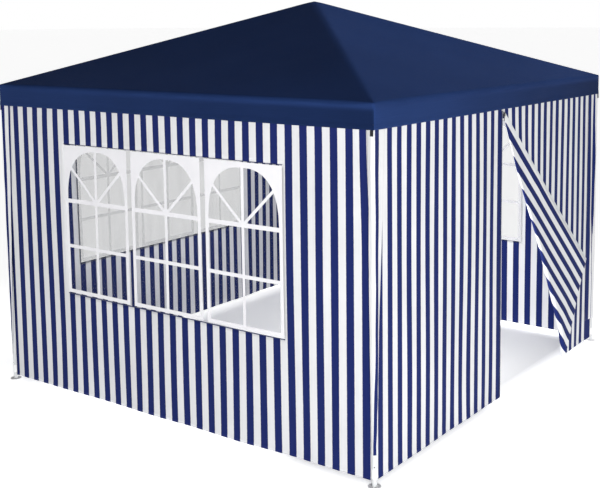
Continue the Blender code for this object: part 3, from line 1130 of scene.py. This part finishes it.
WRAP_PIECES = [add_wrap(corner, 101 + 7 * i) for i, corner in enumerate(WRAPS)]
STRAPS = [add_strap(corner) for corner in CORNERS]
LEG_DETAILS = [add_leg_details(corner) for corner in CORNERS]


# Finishes of the rigid nodes


def finish(node, material):
    obj = frame["nodes"][node]
    obj.data.materials.clear()
    obj.data.materials.append(material)


for node in frame["nodes"]:
    if node.startswith(("leg_front", "leg_rear", "rafter", "eave_rail", "corner_joint", "peak_joint")):
        finish(node, STEEL)
    elif node.startswith("foot"):
        finish(node, PLASTIC)

# Attach the added pieces to the root body

for piece in [*SOFT.objects, *TRIM.objects]:
    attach(piece, "root")


# Stage, light and camera

SKY_LOW = 1.0  # the white surroundings near the horizon
SKY_HIGH = 0.16  # and overhead
FLOOR_GLOW = 0.76  # a lit white floor, as in a product studio
# Inside the walls the floor's glow is painted shade: lower than outside, and lowest at the door.
ROOM_SHADED_GLOW = (0.36, 0.05)  # the same inside the walls, where the photograph is darker: at the left, at the door
SPOTS = {  # a lamp behind that lights the roof's right side: watts, place, the place that it faces, degrees
    "rim": (17800.0, (0.9, 15.0, 8.3), (0.2, 0.2, 2.2), 30.0),
}
PANELS = {  # soft boxes, two of them inside the walls: watts, place, the place that they face, width, height
    "corner": (360.0, (6.0, -6.0, 1.8), (1.2, -1.2, 1.2), 3.0, 2.5),
    "room_left": (8.0, (0.25, 0.0, 1.0), (-1.5, 0.0, 1.0), 2.2, 1.0),
    "room_rear": (26.0, (0.9, -0.25, 1.0), (0.9, 1.5, 1.0), 1.0, 1.0),
}


def add_floor():
    mesh = bpy.data.meshes.new("floor")
    size = 300.0
    corners = [(-size, -size, 0), (size, -size, 0), (size, size, 0), (-size, size, 0)]
    mesh.from_pydata(corners, [], [(0, 1, 2, 3)])
    s = Shader("floor", Roughness=0.9, Specular_IOR_Level=0.1)
    place = s.place("object")
    s.colour(s.mix(s.noise(place, 0.8), (0.86, 0.86, 0.86), (0.88, 0.88, 0.88)))
    parts = s.node("SeparateXYZ", {"Vector": place}).outputs
    far = s.math("MAXIMUM", s.math("ABSOLUTE", parts[0]), s.math("ABSOLUTE", parts[1]))
    s.main.inputs["Emission Color"].default_value = (1.0, 1.0, 1.0, 1.0)
    # Painted shade: the glow drops inside the walls, from the left towards the door.
    inside = s.ranged(parts[0], -0.4, HALF - 0.1, *ROOM_SHADED_GLOW)
    s.feed(s.main.inputs["Emission Strength"], s.ranged(far, HALF - 0.14, HALF + 0.02, inside, FLOOR_GLOW))
    mesh.materials.append(s.material)
    floor = bpy.data.objects.new("floor", mesh)
    STAGE.objects.link(floor)


def add_lamp(name, data, place, target):
    """A lamp that faces a place. Neither the camera nor a reflection shows it."""
    light = bpy.data.objects.new(name, data)
    light.location = place
    light.rotation_mode = "QUATERNION"
    light.rotation_quaternion = (Vector(place) - Vector(target)).to_track_quat("Z", "Y")
    light.visible_camera = False
    light.visible_glossy = False
    STAGE.objects.link(light)


def add_spot(name, watts, place, target, width):
    data = bpy.data.lights.new(name, "SPOT")
    data.energy = watts
    data.spot_size = math.radians(width)
    data.spot_blend = 1.0
    data.shadow_soft_size = 0.6
    add_lamp(name, data, place, target)


def add_panel(name, watts, place, target, width, height):
    data = bpy.data.lights.new(name, "AREA")
    data.shape = "RECTANGLE"
    data.size, data.size_y = width, height
    data.energy = watts
    add_lamp(name, data, place, target)


def add_sky():
    world = bpy.data.worlds.new("studio")
    world.use_nodes = True
    tree = world.node_tree
    background = next(n for n in tree.nodes if n.type == "BACKGROUND")
    place = tree.nodes.new("ShaderNodeTexCoord")
    parts = tree.nodes.new("ShaderNodeSeparateXYZ")
    height = tree.nodes.new("ShaderNodeMapRange")
    height.interpolation_type = "SMOOTHSTEP"
    tree.links.new(place.outputs["Generated"], parts.inputs[0])
    tree.links.new(parts.outputs[2], height.inputs["Value"])
    for key, value in {"From Min": 0.08, "From Max": 0.40, "To Min": SKY_LOW, "To Max": SKY_HIGH}.items():
        height.inputs[key].default_value = value
    tree.links.new(height.outputs["Result"], background.inputs["Strength"])
    background.inputs["Color"].default_value = (1.0, 1.0, 1.0, 1.0)
    bpy.context.scene.world = world


def add_camera():
    """The photograph's view. Its picture is 600 by 488 pixels, and the shift is for its framing only."""
    wide, high = 600, 488
    vanishing = (365.0, 136.0)  # the pixel straight ahead of the camera
    focal = 1018.9
    place = (4.3789, -5.7882, 2.4572)
    yaw, pitch, roll = 34.331, 6.444, -0.30
    data = bpy.data.cameras.new("camera")
    data.sensor_width = 36.0
    data.lens = focal * data.sensor_width / wide
    data.shift_x = (wide / 2 - vanishing[0]) / wide
    data.shift_y = (vanishing[1] - high / 2) / wide
    data.clip_end = 1000.0
    camera = bpy.data.objects.new("camera", data)
    camera.location = place
    turn = Matrix.Rotation(math.radians(yaw), 3, "Z") @ Matrix.Rotation(math.radians(90 - pitch), 3, "X")
    camera.rotation_mode = "QUATERNION"
    camera.rotation_quaternion = (turn @ Matrix.Rotation(math.radians(roll), 3, "Z")).to_quaternion()
    STAGE.objects.link(camera)
    bpy.context.scene.camera = camera


add_floor()
add_sky()
for name, values in SPOTS.items():
    add_spot(name, *values)
for name, values in PANELS.items():
    add_panel(name, *values)
add_camera()
bpy.context.scene.view_settings.view_transform = "Standard"
